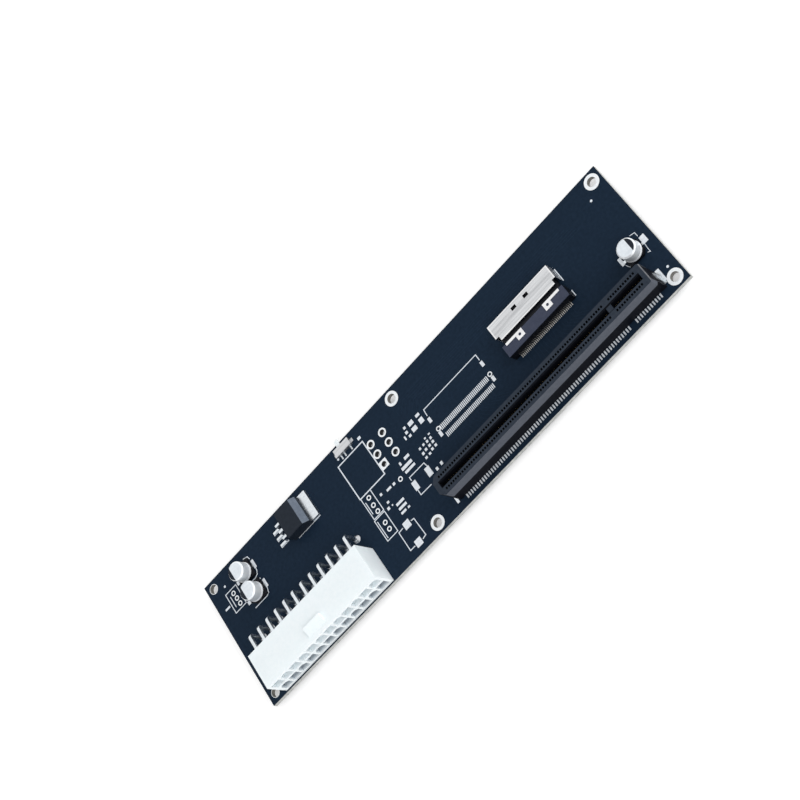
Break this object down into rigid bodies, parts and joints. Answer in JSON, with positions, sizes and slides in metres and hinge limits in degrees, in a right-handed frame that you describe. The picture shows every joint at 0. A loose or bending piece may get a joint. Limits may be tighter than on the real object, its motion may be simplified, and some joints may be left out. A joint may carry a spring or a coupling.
{
  "type": "pcie adapter card",
  "caption": "Long narrow circuit board that carries a full-length graphics-card slot, a low cable socket, a right-angle power header and a small power switch.",
  "frame": {"origin": "middle of the bounding box in plan, at the tips of the pin tails under the board", "axes": "+X along the board towards the slot's short end, +Y towards the edge with the switch, +Z out of the populated face"},
  "size_m": [0.187, 0.0498, 0.0144],
  "materials": {
    "board": "satin dark blue-black solder mask",
    "black_plastic": "moulded black, satin",
    "slate_plastic": "moulded dark slate, matt",
    "white_plastic": "moulded natural white, satin",
    "tin": "bright tin plate",
    "gold": "thin gold flash",
    "aluminium": "drawn aluminium, satin",
    "steel": "brushed stainless sheet"
  },
  "bodies": {
    "card": {"circuit_board": "board", "pcie_slot_housing": "black_plastic", "pcie_slot_contacts": "gold", "slot_clip_left": "tin", "slot_clip_right": "tin", "cable_socket_housing": "slate_plastic", "cable_socket_shell": "steel", "cable_socket_clip_left": "steel", "cable_socket_clip_right": "steel", "cable_socket_leads": "gold", "power_header_housing": "white_plastic", "power_header_pins_upper": "tin", "power_header_pins_lower": "tin", "regulator_body": "black_plastic", "regulator_tab": "tin", "regulator_leads": "tin", "switch_frame": "steel", "switch_base": "black_plastic", "switch_leads": "tin", "capacitor_can_1": "aluminium", "capacitor_base_1": "black_plastic", "capacitor_terminals_1": "tin", "capacitor_can_2": "aluminium", "capacitor_base_2": "black_plastic", "capacitor_terminals_2": "tin", "capacitor_can_3": "aluminium", "capacitor_base_3": "black_plastic", "capacitor_terminals_3": "tin"},
    "lever": {"switch_lever": "white_plastic", "switch_wiper": "gold"}
  },
  "joints": [
    {"name": "switch_slide", "type": "slide", "parent": "card", "child": "lever", "axis": [1, 0, 0], "range_m": [0, 0.0015]}
  ]
}
